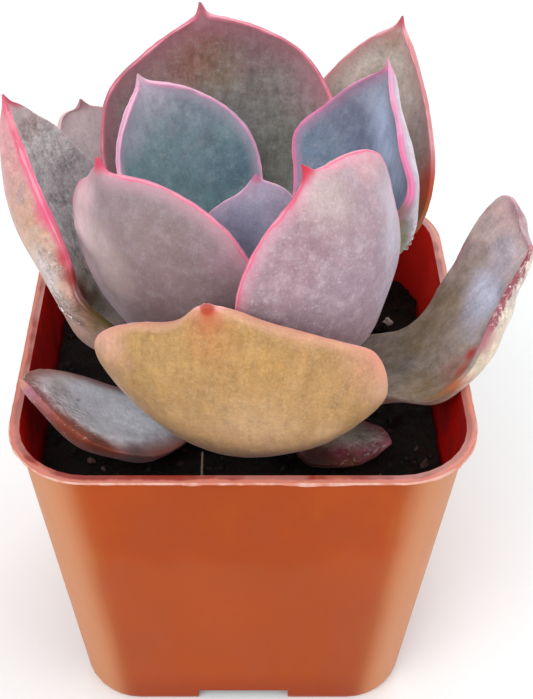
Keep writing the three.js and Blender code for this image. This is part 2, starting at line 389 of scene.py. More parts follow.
def mark_margin(piece, crease, angle=25):
    """Creases and marks the edges along the margin: the sharp ones, without those that lead nowhere."""
    edit(piece, "EDGE", "DESELECT")
    bpy.ops.mesh.edges_select_sharp(sharpness=math.radians(angle))
    done()
    edges = [edge for edge in piece.data.edges if edge.select]
    loose = True
    while loose:
        meeting = Counter(corner for edge in edges for corner in edge.vertices)
        loose = [edge for edge in edges if min(meeting[corner] for corner in edge.vertices) == 1]
        edges = [edge for edge in edges if edge not in loose]
    creases = piece.data.attributes.new("crease_edge", "FLOAT", "EDGE")
    for edge in edges:
        edge.use_seam = True
        creases.data[edge.index].value = crease


def grow_leaf(node, pulls=(), puff=0.0, belly=0.0, tip_reach=3.4, tip_width=0.3, crease=0.85, soften=0):
    """A smooth leaf from the CAD leaf: its margins stay crisp and everything else is rounded."""
    piece = copy_of_node(node, node + "_blade")
    root, tip, along, inward, length = leaf_axes(points_of(piece))
    mark_margin(piece, crease)
    sharpen_tip(piece, tip, tip_reach, tip_width)
    apply(piece, "SUBSURF", levels=3, render_levels=3)
    tip_corner = np.argmin(np.linalg.norm(points_of(piece) - tip, axis=1))
    for row in pulls:
        pull(piece, *row)
    points = points_of(piece)
    seam = np.array([e.vertices[:] for e in piece.data.edges if e.use_seam])
    ends = points[seam]
    ends = ends[((ends.mean(1) - root) @ along) > 0.1 * length]
    samples = np.concatenate([ends[:, 0], ends.mean(1), ends[:, 1]])
    tree = kdtree.KDTree(len(samples))
    for i, p in enumerate(samples):
        tree.insert(p, i)
    tree.balance()
    rim = np.array([tree.find(p)[2] for p in points]) / MM
    if soften:
        edit(piece, "VERT", "DESELECT")
        done()
        piece.data.vertices.foreach_set("select", rim < SOFT_BAND)
        pick(piece)
        bpy.ops.object.mode_set(mode="EDIT")
        bpy.ops.mesh.vertices_smooth(factor=0.5, repeat=soften)
        done()
        points = points_of(piece)
    side = np.cross(along, inward)
    if side[0] < -0.3 or (abs(side[0]) <= 0.3 and side[1] > 0):
        side = -side
    inner = ease(normals_of(piece) @ inward, -0.15, 0.25)
    keep_value(piece, "rim", rim)
    keep_value(piece, "tip", np.linalg.norm(points - points[tip_corner], axis=1) / MM)
    keep_value(piece, "along", ((points - root) @ along) / length)
    keep_value(piece, "across", ((points - root) @ side) / MM)
    keep_value(piece, "inner", inner)
    swell = wave(points, 7) * 0.16 + wave(points, 2.6, 9) * 0.05
    swell += ease(rim, 0, 3.6) * (puff * inner + belly * (1 - inner))
    nicks = wave(points, 1.1, 4) * 0.07 * ease(rim, 1.2, 0)
    set_points(piece, points + normals_of(piece) * ((swell + nicks) * MM)[:, None])
    smooth(piece)
    return piece, inward, length


def washed(wax, leaf, skin, washes, drift, inward=None, inner=None):
    """Lays washes of colour on a skin, on the side that shows at their place in the photograph or on both."""
    for across, down, reach, code, strength in washes:
        point, normal = seen_on(leaf, across, down)
        side = 1.0
        if normal is not None and inner is not None:
            side = inner if np.dot(normal, inward) > 0.05 else wax.math("SUBTRACT", 1.0, inner)
        far = wax.math("MULTIPLY_ADD", drift, reach * 0.9, wax.away_from(point))
        share = wax.times(wax.fade(far, reach * 1.25, reach * 0.1, 0, strength), side)
        skin = wax.mix(skin, code, share)
    return skin


def near_any(wax, leaf, places, drift):
    """How near the leaf is to any of the places of the photograph: 1 within reach of one, 0 away from all."""
    share = 0.0
    for across, down, reach in places:
        far = wax.math("MULTIPLY_ADD", drift, reach * 1.2, wax.away_from(seen_on(leaf, across, down)[0]))
        share = wax.math("MAXIMUM", share, wax.fade(far, reach * 1.2, reach * 0.5))
    return share


# What a leaf's tones say where they leave it out
USUAL_TONES = dict(
    mottle=0.85, speckle=0.6, streaks=0.3, bloom=0.22, powder="d9d3dc", dots=0.12, blush_width=2.6, blush_depth=0.6,
    rim_width=0.55, rim_soft=0.3, rim_depth=0.92, rim_from=(0.02, 0.22), gleam=0.3, tip_size=2.6, tip_depth=0.9,
    glints=0.6,
)


def leaf_finish(name, leaf, inward, length, tones, washes=(), glaze=(), wet=(), bare=()):
    """Waxy skin under a powdery bloom: ground tones, washes of other tones, and a crisp coloured margin.

    Glazes go over the margin as well. A wet place is glossy and ragged, goes lighter and darker along its crinkles,
    a painted light and shade of its wrinkles, and is flecked with painted white glints. A bare one has no coloured
    margin.
    """
    tones = USUAL_TONES | tones
    wax = Finish(name)
    rim, tip, along, across, inner = (wax.number(n) for n in ("rim", "tip", "along", "across", "inner"))
    run = wax.times(along, length / MM * 0.22)
    grain = wax.vector(across, run, wax.times(inner, 9))
    broad = wax.noise(7, 2, 0.5)
    cloud = wax.noise(2.2, 5, 0.66)
    dust = wax.noise(0.42, 3, 0.7)
    streak = wax.noise(1.0, 3, 0.6, grain, 1)
    rise = wax.sway(along, broad, 0.35)
    drift = wax.math("SUBTRACT", wax.math("ADD", broad, cloud), 1.0)
    soaked = near_any(wax, leaf, wet, drift)
    crinkle = wax.mix(wax.noise(0.9, 4, 0.7), wax.noise(0.55, 3, 0.6, grain, 1), 0.5)
    crinkle = wax.fade(crinkle, 0.3, 0.7)

    sides = []
    for face in ("face", "back"):
        foot, middle, top = tones[face].split()
        low_part = wax.mix(foot, middle, wax.fade(rise, 0.12, 0.45))
        sides.append(wax.mix(low_part, top, wax.fade(rise, 0.6, 0.98)))
    skin = washed(wax, leaf, wax.mix(sides[1], sides[0], inner), washes, drift, inward, inner)
    tone = 1.0
    for pattern, depth in ((cloud, "mottle"), (dust, "speckle"), (streak, "streaks")):
        tone = wax.sway(tone, pattern, tones[depth])
    # In wet places the skin goes lighter and darker along the crinkles: painted light and shade of the wrinkles,
    # over their bump.
    tone = wax.sway(tone, crinkle, wax.times(soaked, 0.8))
    skin = wax.mix(skin, tone, 1.0, "MULTIPLY")
    bloom = wax.fade(wax.noise(1.6, 6, 0.7), 0.42, 0.8, 0, tones["bloom"])
    dots = wax.fade(wax.noise(0.32, 2, 0.5), 0.6, 0.68, 0, tones["dots"])
    for powder in (bloom, dots):
        skin = wax.mix(skin, tones["powder"], powder)

    edge = wax.math("MULTIPLY_ADD", drift, 0.7, rim)
    edge = wax.sway(edge, crinkle, wax.times(soaked, 1.6))
    blush = wax.fade(edge, tones["blush_width"], 0.2, 0, tones["blush_depth"])
    rims = tones["rim"].split()
    shifting = wax.sway(broad, crinkle, wax.times(soaked, 0.6))
    line = wax.mix(rims[0], rims[-1], wax.fade(shifting, 0.42, 0.58))
    if "rim_low" in tones:
        line = wax.mix(tones["rim_low"], line, wax.fade(rise, *tones["rim_low_to"]))
    wide = tones["rim_width"]
    line_share = wax.fade(edge, wide, wide * tones["rim_soft"], 0, tones["rim_depth"])
    kept = wax.fade(rise, *tones["rim_from"])
    kept = wax.times(kept, wax.math("SUBTRACT", 1.0, near_any(wax, leaf, bare, drift)))
    skin = wax.mix(skin, tones["blush"], wax.times(blush, kept))
    skin = wax.mix(skin, line, wax.times(line_share, kept))
    # A pale line right at the margin's edge: a painted highlight.
    skin = wax.mix(skin, "f6dde2", wax.fade(edge, 0.2, 0.05, 0, tones["gleam"]))
    skin = washed(wax, leaf, skin, glaze, drift)
    point = wax.fade(tip, tones["tip_size"], 0.7, 0, tones["tip_depth"])
    skin = wax.mix(skin, tones["tip"], point)

    # White flecks in wet places: painted glints.
    glints = wax.fade(wax.noise(0.55, 3, 0.6), 0.63, 0.67, 0, tones["glints"])
    skin = wax.mix(skin, "fbf1f3", wax.times(glints, soaked))
    rough = wax.math("MULTIPLY_ADD", soaked, -0.4, wax.fade(dust, 0.3, 0.7, 0.46, 0.62))
    wax.set(Base_Color=skin, Roughness=wax.math("MAXIMUM", rough, 0.1), Specular_IOR_Level=0.4)
    wax.set(Sheen_Weight=0.16, Sheen_Roughness=0.45, Sheen_Tint="f3e6ee")
    wax.set(Subsurface_Weight=0.1, Subsurface_Radius=(1.0, 0.45, 0.35), Subsurface_Scale=0.9 * MM)
    swells = wax.math("MULTIPLY_ADD", wax.times(soaked, crinkle), 2.5, cloud)
    wax.set(Normal=wax.bump(swells, 0.5, 0.24, wax.bump(dust, 0.4, 0.05)))
    return wax.material


blades = {}


def grow_and_finish(node, tones, washes=(), glaze=(), wet=(), bare=(), **shaping):
    blade, inward, length = grow_leaf(node, **shaping)
    skin = leaf_finish(node + "_skin", blade, inward, length, tones, washes, glaze, wet, bare)
    finish_piece(blade, skin, [node])
    blades[node] = blade


# Pulls go from one place in the photograph to another, and then say their reach. Puff and belly are the fullness of
# the hollow and of the outer side. Soften is how often the margin is smoothed.
# Face and back are the tones of the hollow and of the outer side, each from the foot to the top.
# Washes and glazes say where they show in the photograph, their reach in millimetres, tone and strength.
grow_and_finish(
    "leaf_back",
    pulls=[(116, 95, 107, 91, 5.5), (300, 55, 303, 50, 6)],
    tones=dict(
        face="6b6a60 7c7d76 8c6a66", back="8d8584 a08a8c b08c90", blush="b07580", blush_width=4.5,
        rim="ee7f97 dd6f88", tip="b2606e", mottle=1.0, speckle=0.8, streaks=0.9,
    ),
    washes=[
        (203, 42, 8, "8a5850", 0.8), (165, 70, 6, "98706f", 0.6), (140, 95, 4, "946a70", 0.5),
        (252, 60, 6, "8c6f76", 0.6), (250, 118, 8, "7b7b7c", 0.6), (304, 95, 5, "a07c84", 0.5),
        (285, 150, 7, "6b6c5e", 0.6), (112, 130, 4, "a87e83", 0.6), (222, 72, 5, "7c6c50", 0.55),
        (190, 60, 4, "8f5c4c", 0.5), (262, 95, 5, "6d6a60", 0.5), (180, 118, 4, "766a5e", 0.4),
    ],
)
grow_and_finish(
    "leaf_inner_back",
    pulls=[(120, 160, 116, 158, 5)],
    tones=dict(
        face="4f7680 68898f 98a4ac", back="8b95a3 97a0ac a7a4b4", blush="c2aec4", blush_width=2.2,
        rim="f0a4ca eaa0c6", tip="d6aec0", tip_size=2.0, mottle=0.7, rim_width=0.5, streaks=0.6,
    ),
    washes=[
        (158, 92, 5, "b3abba", 0.8), (200, 104, 6, "9498a8", 0.6), (133, 135, 3.5, "a9a9ba", 0.7),
        (190, 145, 8, "70848e", 0.6), (238, 168, 6, "5a7483", 0.7), (246, 118, 4, "9aa4af", 0.5),
    ],
)
grow_and_finish(
    "leaf_back_right",
    pulls=[(367, 52, 366, 46, 7), (426, 192, 433, 195, 6), (427, 210, 423, 230, 5)],
    tones=dict(
        face="8a5a48 a2948a c6b8ae", back="b06844 bda9a0 cbb0ab", blush="c08c8c", rim="e9989f d97f86",
        tip="c04a58", streaks=0.6, mottle=1.0, speckle=0.9,
    ),
    washes=[
        (395, 42, 5, "c6bbae", 0.7), (375, 58, 5, "b4a99e", 0.6), (414, 80, 4, "b0998c", 0.6),
        (420, 125, 5, "a08c88", 0.5), (424, 178, 5, "9c6a58", 0.6), (424, 205, 6, "a24a28", 0.85),
        (372, 88, 4, "a69a86", 0.6), (391, 36, 2.5, "a06a4c", 0.6),
    ],
    glaze=[
        (430, 205, 4.5, "b05418", 0.95), (431, 172, 3, "c4504a", 0.7), (420, 228, 5, "94591e", 0.9),
        (433, 188, 3, "b8441c", 0.85),
    ],
)
grow_and_finish(
    "leaf_inner_right",
    pulls=[
        (301, 138, 293, 136, 4), (399, 135, 406, 137, 3.2), (403, 180, 409, 182, 3), (409, 105, 404, 105, 3.5),
        (414, 130, 408, 130, 3), (408, 240, 411, 256, 4), (392, 103, 397, 103, 3), (401, 150, 406, 150, 3.2),
        (402, 182, 407, 182, 3.2), (400, 196, 405, 200, 3), (407, 212, 415, 213, 4), (404, 234, 412, 237, 4),
        (402, 96, 398, 96, 2), (409, 120, 405, 120, 2.2), (412, 141, 410, 141, 2),
    ],
    belly=0.3,
    tones=dict(
        face="62748a 72849a a3a4b6", back="c4bcc8 d4ccd8 dcd2dc", blush="cc94b6", blush_width=2.0,
        rim="f078ac f4a0c8", tip="dca8bc", tip_size=1.8, mottle=0.7, streaks=0.6, gleam=0.1,
    ),
    washes=[
        (370, 74, 4, "aba4b8", 0.6), (335, 100, 5, "a08fa2", 0.5), (345, 125, 5, "707c94", 0.6),
        (367, 135, 4, "6c7690", 0.6), (382, 98, 3.2, "b4c0d8", 0.95), (386, 122, 3.6, "b0bedc", 0.95),
        (391, 148, 3.6, "acbcda", 0.95), (396, 176, 3.4, "a6b4d0", 0.9),
    ],
    glaze=[
        (401, 211, 1.8, "8c7c74", 0.85), (402, 224, 2, "85755a", 0.9), (401, 238, 2.2, "8f8c64", 0.9),
        (399, 252, 2.6, "a6a680", 0.85),
    ],
    wet=[(411, 256, 4)],
)
grow_and_finish(
    "leaf_front_left",
    pulls=[(257, 270, 247, 262, 5), (92, 172, 91, 167, 1.6)],
    tones=dict(
        face="8d7f8a 968994 a08f9c", back="8e7a80 7f6b6e 938086", blush="cf98a6",
        rim="e2608a ea7898", tip="cf2f56", mottle=0.6, speckle=0.4, powder="cdc3d0",
    ),
    washes=[
        # The pale washes along the left edge, at 81, 80 and 88 across, are painted light where that edge catches the
        # light.
        (81, 190, 4, "e8bcc4", 0.8), (80, 225, 3.5, "e8c6cc", 0.8), (88, 265, 4, "d4b6be", 0.7),
        (112, 176, 4, "c49ca6", 0.6), (150, 262, 9, "886868", 0.6), (232, 258, 5, "bb8fa0", 0.5),
        (105, 300, 5, "bea8b2", 0.6), (185, 300, 6, "988084", 0.5), (95, 240, 4.5, "cdb2ae", 0.55),
        (140, 235, 6, "92807e", 0.5), (112, 275, 4, "b09a92", 0.5),
    ],
    # The palest glaze, at 75 across, is painted light on the left edge.
    glaze=[(74, 198, 1.6, "e8849c", 0.7), (80, 180, 1.6, "e07890", 0.6), (75, 225, 1.4, "f0d8dc", 0.6)],
)
grow_and_finish(
    "leaf_front_right",
    pulls=[
        (378, 168, 384, 152, 4.5), (328, 160, 328, 163, 2), (302, 158, 302, 162, 1.1), (258, 280, 242, 277, 7),
        (281, 240, 273, 240, 4), (394, 290, 386, 289, 5),
    ],
    tones=dict(
        face="9a8c98 a698a4 b19ba6", back="947f8a 9a808a b599a3", blush="e39ab0", blush_width=2.4,
        rim="ea5c86 f07c98", tip="d02544", mottle=0.6, powder="f0e6ee", bloom=0.3, dots=0.2,
    ),
    washes=[
        # The lavender-white washes down the right side, at 392, 395 and 388 across, are painted light where that
        # side catches the light.
        (335, 165, 3.8, "f08fa0", 0.75), (362, 156, 4, "e8b0b8", 0.6), (392, 200, 4.5, "d4ccdb", 0.75),
        (395, 240, 4.5, "c9c3d4", 0.75), (388, 285, 4, "b7afc2", 0.6), (312, 195, 4, "b0838f", 0.6),
        (330, 225, 6, "a08488", 0.5), (300, 262, 6, "98727e", 0.6), (350, 290, 7, "9c8492", 0.5),
        (318, 186, 4, "cdbcb8", 0.7), (332, 200, 4, "c6aeac", 0.6),
    ],
    glaze=[
        (301, 167, 1.5, "c8203e", 0.95), (298, 178, 1.4, "cc2a4c", 0.9), (294, 190, 1.3, "d23c60", 0.85),
        (288, 202, 1.3, "dc4c74", 0.8),
    ],
)
grow_and_finish(
    "leaf_inner_front",
    pulls=[(282, 196, 283, 186, 3.2), (257, 181, 256, 176, 2)],
    tones=dict(
        face="7e8099 9697ae afa6be", back="80839c 9698b0 b7aec5", blush="b58fae", blush_width=1.8,
        rim="e0a4c0 e6b4cc", tip="c8648a", tip_size=1.5, tip_depth=0.8, mottle=0.4, rim_width=0.45,
    ),
    washes=[
        (257, 188, 1.6, "a3708a", 0.5), (238, 208, 3, "948a9e", 0.6), (277, 206, 3.5, "a39ab2", 0.6),
        (255, 232, 5, "878ba3", 0.7),
    ],
)
grow_and_finish(
    "leaf_front",
    pulls=[
        (186, 326, 186, 322, 2.6), (196, 320, 196, 312.5, 1.6), (228, 326, 228, 315, 3.2), (250, 321, 250, 317, 4),
        (103, 333, 98, 330, 4), (372, 362, 375, 354, 4), (195, 316, 195, 311, 1.6), (216, 313, 216, 308.5, 1.8),
        (205, 306, 206, 307.5, 1.2),
    ],
    tip_reach=1.2, tip_width=1.0,
    tones=dict(
        face="c4976a c89c72 cda079", back="b88a60 a8814c b28754", blush="e8a48c", blush_width=2.2,
        rim="fbaaa2 ee9088", tip="b0301c", mottle=1.0, speckle=0.8, streaks=0.5, powder="e0bc92", bloom=0.25,
        rim_width=0.6, rim_depth=0.75, rim_soft=0.1, tip_size=1.3, tip_depth=0.7, dots=0.25,
    ),
    washes=[
        (207, 318, 2, "b4542a", 0.8), (210, 338, 4, "b8743e", 0.65), (155, 358, 7, "b58f50", 0.6),
        (262, 348, 8, "b68a4a", 0.6), (108, 342, 4.5, "e0a890", 0.75), (125, 395, 5, "c6a286", 0.6),
        (180, 425, 6, "c59c6c", 0.5), (255, 438, 8, "cda47c", 0.5), (368, 362, 5, "cb9072", 0.7),
        (380, 385, 3.5, "d09a80", 0.6), (300, 330, 3, "d89a7c", 0.5), (330, 405, 6, "c6985f", 0.4),
        # The pale washes at 118 and 150 across are a painted highlight along the lower edge.
        (118, 392, 2.4, "d8b0a0", 0.5), (150, 425, 2.4, "d4aa98", 0.5), (330, 432, 3, "d2aa7e", 0.6),
    ],
    glaze=[
        # The pale glaze at 384, 392 is a painted highlight along the lower right edge.
        (384, 366, 2.4, "e69a84", 0.5), (376, 352, 1.6, "ee8a7c", 0.35), (384, 392, 2.4, "d8a888", 0.7),
        (208, 312, 1.1, "c24a26", 0.85), (211, 322, 1.8, "c0683a", 0.5),
    ],
)
grow_and_finish(
    "leaf_left",
    pulls=[
        (20, 205, 14, 205, 6.5), (22, 117, 22, 106, 4), (50, 132, 52, 125, 4), (82, 280, 76, 281, 3.5),
        (95, 298, 83, 299, 4.5), (111, 321, 94, 323, 5), (104, 322, 92, 325, 4.5),
    ],
    belly=0.6,
    tones=dict(
        face="96724e dcd8d8 e2dada", back="ac9088 c89e86 d4969a", blush="d98a92", blush_width=2,
        rim="f0608a e04a70", tip="d65a70", mottle=1.1, speckle=0.8, powder="e4dcdc", bloom=0.3,
        rim_width=1.1, rim_soft=0.0, rim_low="6e3418", rim_low_to=(0.5, 0.62),
    ),
    washes=[
        (12, 132, 3, "e090a0", 0.7), (22, 222, 4, "c69a7e", 0.6), (34, 252, 4, "d0b094", 0.6),
        (50, 287, 3.2, "b8a8a4", 0.7), (66, 308, 3, "b4a29e", 0.7), (26, 122, 3.5, "b89e98", 0.7),
        (60, 190, 5, "c4c1c6", 0.5), (85, 280, 4, "9c8c74", 0.7), (96, 318, 4, "85583a", 0.7),
        (30, 165, 3, "d8a4ac", 0.6), (44, 268, 4, "cfc2c6", 0.7), (94, 302, 3, "6c663a", 0.75),
        (104, 318, 3.5, "6a6030", 0.85),
    ],
    glaze=[
        (62, 258, 1.6, "b82440", 0.85), (73, 277, 2.2, "8c2418", 0.95), (83, 295, 2.8, "742c18", 0.95),
        (95, 311, 3.2, "6a4a1c", 0.9), (106, 324, 3.2, "665a28", 0.85), (13, 122, 2.2, "e8a0a8", 0.6),
        (45, 215, 2, "e04878", 0.6),
    ],
    wet=[(62, 190, 5), (45, 262, 3), (64, 306, 3.5), (80, 240, 5), (36, 135, 4), (58, 155, 4.5)],
    bare=[(30, 112, 3), (52, 126, 3.2), (74, 146, 3.2), (94, 164, 3.2)],
)
grow_and_finish(
    "leaf_back_left",
    pulls=[(66, 130, 54, 126, 3.6), (90, 106, 92, 103, 3), (71, 118, 65, 113, 2.6)],
    tones=dict(
        face="958c8a b0a7ab cbbcc0", back="a49c9c b9aeb2 c8b8bc", blush="ccb4b8", rim="dcb4b8 cfa4aa",
        tip="a87880", streaks=0.4, rim_width=0.4,
    ),
)
grow_and_finish(
    "leaf_right",
    pulls=[
        (514, 209, 511, 201, 4.5), (490, 213, 484, 207, 5), (472, 243, 468, 240, 4), (457, 373, 472, 378, 6),
        (425, 395, 438, 400, 5), (415, 300, 425, 306, 4), (395, 314, 399, 328, 5), (390, 411, 390, 403, 4),
        (513, 213, 519, 213, 2.4), (522, 226, 526, 225, 2), (518, 246, 528, 249, 1.8), (508, 268, 517, 268, 2.6),
        (498, 288, 508, 288, 2.6), (490, 305, 500, 305, 2.6), (482, 325, 490, 325, 2.6), (474, 346, 480, 346, 2.6),
        (500, 335, 504, 335, 3.5), (508, 193, 509, 197, 4),
    ],
    puff=0.3, belly=0.35, soften=6, tip_reach=1.2, tip_width=1.0,
    tones=dict(
        face="7d6f5c 9d8e82 c4aca8", rim_from=(0.62, 0.78), back="c08a5c d8c4ac e6d8c8", blush="c09a9e",
        blush_width=1.8, blush_depth=0.4, rim="9c4656 cc8690", gleam=0.0, glints=0.9, tip="c0a0a8", tip_depth=0.4,
        streaks=0.8, mottle=1.0, speckle=0.8, powder="d8d4dc", bloom=0.25,
    ),
    washes=[
        (508, 208, 4, "c0a5a2", 0.7), (470, 262, 5, "a6958a", 0.6), (440, 300, 5, "947a60", 0.7),
        (405, 345, 6, "857660", 0.7), (490, 290, 4, "c0c2d4", 0.8), (505, 255, 3.5, "bcb6c4", 0.7),
        (475, 322, 4, "b0abb8", 0.6), (450, 370, 3, "a8604c", 0.6), (425, 385, 5, "85765f", 0.5),
        (512, 205, 3.4, "c9a2a4", 0.6), (430, 395, 4, "8a7448", 0.6), (395, 370, 5, "77725e", 0.6),
        (425, 335, 4.5, "8f7c56", 0.6), (445, 305, 4, "95866c", 0.6), (412, 388, 4, "8a7242", 0.6),
        (483, 300, 4, "c8cde2", 0.8),
    ],
    glaze=[
        (471, 354, 1.5, "bc2c2c", 0.9), (463, 370, 1.8, "b8482c", 0.85), (454, 386, 2.6, "b85c28", 0.85),
        (484, 340, 2, "b4707c", 0.6), (518, 214, 1.2, "b8707c", 0.7), (438, 398, 2.5, "93683c", 0.6),
        (526, 232, 1.6, "cdb6be", 0.8), (525, 226, 1.2, "c08c98", 0.6), (529, 243, 1.0, "c2a4ac", 0.7),
        (512, 203, 2.0, "cfa9ae", 0.6),
    ],
    wet=[(519, 216, 2), (522, 230, 1.6), (526, 262, 1.8), (520, 280, 2), (511, 298, 2), (502, 316, 1.8)],
    bare=[(500, 200, 2.5), (475, 225, 3)],
)
grow_and_finish(
    "leaf_low_left",
    pulls=[
        (16, 377, 20, 379, 1.6), (45, 374, 42, 367, 4), (83, 437, 80, 448, 7), (140, 452, 142, 461, 5),
        (90, 381, 90, 374, 4), (62, 377, 62, 370, 3.5),
    ],
    puff=1.0, crease=0.3, tip_reach=2, tip_width=0.7, soften=24,
    tones=dict(
        face="b4b8c8 e2eaf6 ece0e4", back="5c2c1a 803c24 a06a68", blush="94482e", blush_width=3.2,
        blush_depth=0.8, rim="9a5244 84452f", rim_depth=0.3, gleam=0.0, tip="cc8878", tip_size=1.8, bloom=0.45,
        powder="d4d8de", mottle=0.8, speckle=0.7,
    ),
    washes=[
        (28, 376, 3, "cfaeb2", 0.7), (55, 380, 4, "b6adb2", 0.6), (88, 398, 5, "d0d8e4", 0.6),
        (35, 396, 2.6, "bd8490", 0.7), (60, 420, 3, "ad7874", 0.7), (88, 446, 3.2, "944c34", 0.9),
        (118, 456, 3.5, "8a4630", 0.85), (155, 450, 5, "74727f", 0.6),
    ],
    glaze=[
        (30, 392, 1.8, "b4708c", 0.7), (44, 408, 2.2, "a85c60", 0.8), (60, 422, 2.4, "9c4a38", 0.9),
        (82, 436, 2.8, "98492a", 0.95), (102, 450, 2.8, "7c3820", 0.95), (135, 458, 3, "5c4a50", 0.8),
        (98, 444, 1.6, "743420", 0.8), (72, 428, 2, "904428", 0.9),
    ],
    wet=[(60, 405, 6)],
)
grow_and_finish(
    "leaf_low_right",
    pulls=[
        (340, 456, 333, 464, 4), (318, 458, 304, 462, 4), (362, 452, 362, 459, 4), (367, 418, 368, 424, 3),
    ],
    puff=0.6, crease=0.4, soften=6, tip_reach=1.2, tip_width=1.0,
    tones=dict(
        face="5c4436 8f887e a0908a", back="421a0c 5e2412 6a2c24", blush="7a2c40", rim="8c3a4c 7c3428",
        rim_depth=0.5, gleam=0.0, glints=0.3, tip="a05a68", tip_size=1.6, mottle=0.8, streaks=0.6, speckle=0.7,
        bloom=0.08, dots=0.0,
    ),
    washes=[
        (350, 434, 3, "9a948a", 0.7), (348, 452, 2.6, "7c2c42", 0.9), (376, 450, 2.2, "843450", 0.85),
        # The dark rust at the foot by the soil, here and in the glazes below, is partly the leaf's rust colour and
        # partly painted shade.
        (318, 458, 4.5, "54200f", 0.95), (345, 465, 3.2, "5c2412", 0.95), (365, 438, 3, "827c70", 0.6),
    ],
    glaze=[
        (330, 465, 3.2, "54200c", 1.0), (350, 464, 2.8, "5e2410", 1.0), (312, 460, 3.6, "34120a", 1.0),
        (370, 459, 2, "6a2430", 0.8), (340, 452, 1.4, "7a2c44", 0.7), (362, 450, 1.4, "80304a", 0.7),
    ],
    wet=[(368, 448, 5)],
)
grow_and_finish(
    "leaf_low_back",
    tones=dict(
        face="8a8a86 a8a4aa b4a8ac", back="8a7c78 b0a4a8 b8a6aa", blush="b8949a", rim="cc8890 b87880",
        tip="b45c6c",
    ),
)


# The heart: a stub of stem with young leaves, each a small copy of the innermost leaf.
# Each leaf's bearing, length, tilt, distance from the stem's middle and height above its end.
YOUNG_LEAVES = [
    (90, 12, 0, 2.5, 0), (210, 11.6, -3, 2.5, 0), (-28, 11, -6, 2.4, 0.3), (150, 8.6, -16, 1.7, 2.2),
    (30, 7.8, -20, 1.5, 2.6), (270, 6.8, -24, 1.1, 3),
]
HEART_Z = 58.5
STEM_LEVELS = (27, 33, 39, 45, 50, 55, 58.4, 59.5, 59.9)
STEM_SIZES = (0.97, 0.96, 0.95, 0.93, 0.9, 0.86, 0.72, 0.4)

stem = drawn_up("stem_stub", 32, 6.2, [(0, 0, level) for level in STEM_LEVELS], STEM_SIZES)
points = points_of(stem)
scar_rings = np.sin(points[:, 2] / (0.55 * MM)) * 0.12 + wave(points, 3) * 0.35
set_points(stem, points + normals_of(stem) * (scar_rings * MM)[:, None] * np.array((1, 1, 0)))
smooth(stem)
bark = Finish("stem_skin")
scars = bark.noise(2.5, 4, 0.6)
rings = bark.noise(0.9, 3, 0.6, bark.stretched((0.25, 0.25, 1)))
green = bark.mix("7d8468", "9a8a7c", bark.fade(scars, 0.4, 0.6))
bark.set(Base_Color=bark.mix(green, "5c4a3a", bark.fade(rings, 0.5, 0.7, 0, 0.6)), Roughness=0.65)
bark.set(Normal=bark.bump(scars, 0.5, 0.4))
finish_piece(stem, bark.material, ["stem"])

inmost = blades["leaf_inner_front"]
root, tip, along, inward, length = leaf_axes(points_of(inmost))
heart_skin = leaf_finish(
    "heart_skin", inmost, inward, length * 0.4,
    dict(
        face="6d7c72 7f8b8c a39bae", back="6d7c72 7f8b8c a39bae", blush="c090ac", blush_width=2.2,
        rim="e08cae d87898", tip="c23a60", mottle=0.4,
    ),
)
for order, (turn, size, tilt, apart, up) in enumerate(YOUNG_LEAVES):
    seat = at(apart * math.cos(math.radians(turn)), apart * math.sin(math.radians(turn)), HEART_Z + up)
    placing = (
        Matrix.Translation(seat)
        @ Matrix.Rotation(math.radians(turn + 92), 4, "Z")
        @ Matrix.Rotation(math.radians(tilt), 4, "X")
        @ Matrix.Scale(size / (length / MM), 4)
        @ Matrix.Translation(-Vector(root))
    )
    young = copy_of_piece(inmost, f"young_leaf_{order + 1}", placing)
    finish_piece(young, heart_skin)


# The pot

WALL_HALF_FOOT = 25.5
WALL_HALF_RIM = 30.1
LIP_CORE = 20 * MM
THINNER_WALL = 0.4 * MM
RAISED_LIP = 0.35 * MM
# Beyond these the foot's outer ring starts, along the sides and over the corners.
FOOT_SIDE = 23.6
FOOT_CORNER = 42.5
# How much wider the foot's outer ring gets at each level, and how much higher the cross channel.
FOOT_WIDER = ((0, 0.7), (0.4, 0.25))
CHANNEL_HIGHER = ((1.4, 0.8), (2.2, 0.3))
SAME_LEVEL = 0.05 * MM

pot = copy_of_node("pot", "pot_shell")
points = points_of(pot)
normals = normals_of(pot)
out = points - np.array((POT_X, POT_Y, 0))
out[:, 2] = 0
reach_out = np.linalg.norm(out, axis=1)
out /= np.maximum(reach_out, 1e-9)[:, None]
facing = (normals * out).sum(1)
wall = (facing < -0.25) & (points[:, 2] > 2 * MM) & (reach_out > 20 * MM)
flat = normals.copy()
flat[:, 2] = 0
flat /= np.maximum(np.linalg.norm(flat, axis=1), 1e-9)[:, None]
points[wall] -= flat[wall] * THINNER_WALL
under_lip = (points[:, 2] > RIM_Z - 1.3 * MM) & (points[:, 2] < RIM_Z - 0.1 * MM)
points[under_lip, 2] += RAISED_LIP
across_out = np.abs(points[:, 0] - POT_X) / MM
deep_out = np.abs(points[:, 1] - POT_Y) / MM
outer_ring = (np.maximum(across_out, deep_out) > FOOT_SIDE) | (across_out + deep_out > FOOT_CORNER)
push = out.copy()
for outward, way in ((across_out, (1, 0, 0)), (deep_out, (0, 1, 0))):
    push[outward > FOOT_SIDE] = np.sign(out[outward > FOOT_SIDE]) * way
for level, wider in FOOT_WIDER:
    ring = outer_ring & (np.abs(points[:, 2] - level * MM) < SAME_LEVEL)
    points[ring] += push[ring] * wider * MM
for level, higher in CHANNEL_HIGHER:
    points[np.abs(points[:, 2] - level * MM) < SAME_LEVEL, 2] += higher * MM
set_points(pot, points)
edit(pot, "FACE")
bpy.ops.mesh.dissolve_limited(angle_limit=math.radians(0.5))
done()
apply(pot, "BEVEL", width=0.18 * MM, segments=3, limit_method="ANGLE", angle_limit=math.radians(40))
smooth(pot, 35)

